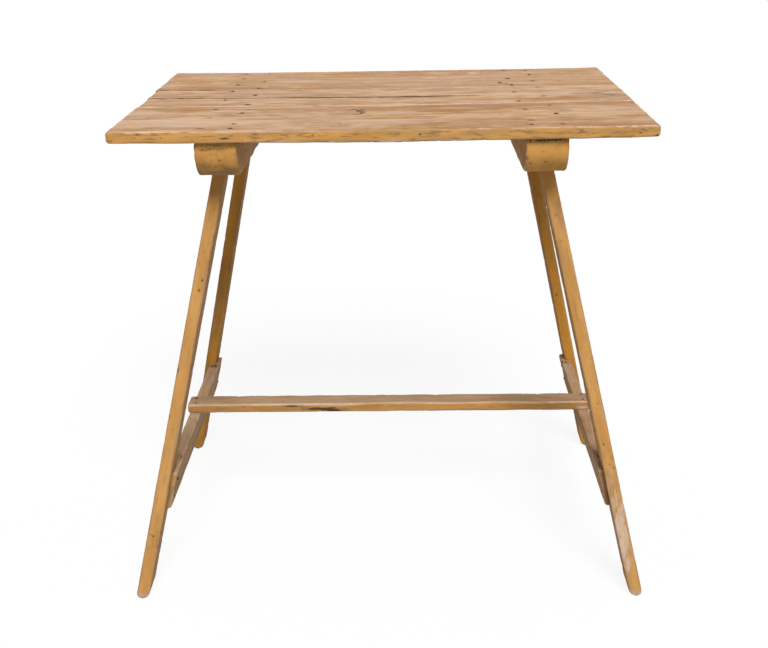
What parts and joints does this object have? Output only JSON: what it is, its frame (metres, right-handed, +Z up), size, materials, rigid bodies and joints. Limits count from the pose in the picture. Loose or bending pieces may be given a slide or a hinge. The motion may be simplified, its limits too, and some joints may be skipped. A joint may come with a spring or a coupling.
{
  "type": "trestle table",
  "caption": "Small country trestle table: nailed plank top on bullnose cleats that lifts off a splayed, lapped and nailed leg base with a long stretcher.",
  "frame": {"origin": "on the floor, under the middle of the table", "axes": "+X along the boards to the right, +Y from the front to the back, +Z up"},
  "size_m": [0.832, 0.618, 0.77],
  "materials": {
    "bare_pine": "bare scrubbed pine, worn and nailed, with traces of ochre paint on the edges",
    "ochre_paint": "worn ochre paint over pine, bare grey-brown where it was never painted or is rubbed through",
    "worn_rail_wood": "bare grey-brown pine with ochre paint on the outward edges",
    "nail_iron": "rusted dark iron"
  },
  "bodies": {
    "base": {"front_left_leg": "ochre_paint", "back_left_leg": "ochre_paint", "front_right_leg": "ochre_paint", "back_right_leg": "ochre_paint", "left_cross_rail": "worn_rail_wood", "right_cross_rail": "worn_rail_wood", "long_stretcher": "worn_rail_wood", "front_left_rail_nails": "nail_iron", "back_left_rail_nails": "nail_iron", "front_right_rail_nails": "nail_iron", "back_right_rail_nails": "nail_iron", "left_stretcher_nails": "nail_iron", "right_stretcher_nails": "nail_iron"},
    "top": {"first_board": "bare_pine", "second_board": "bare_pine", "third_board": "bare_pine", "fourth_board": "bare_pine", "fifth_board": "bare_pine", "first_board_nails": "nail_iron", "second_board_nails": "nail_iron", "third_board_nails": "nail_iron", "fourth_board_nails": "nail_iron", "fifth_board_nails": "nail_iron", "left_cleat": "ochre_paint", "right_cleat": "ochre_paint"}
  },
  "joints": [
    {"name": "top_lift", "type": "slide", "parent": "base", "child": "top", "axis": [0, 0, 1], "range_m": [0, 0.15]}
  ]
}
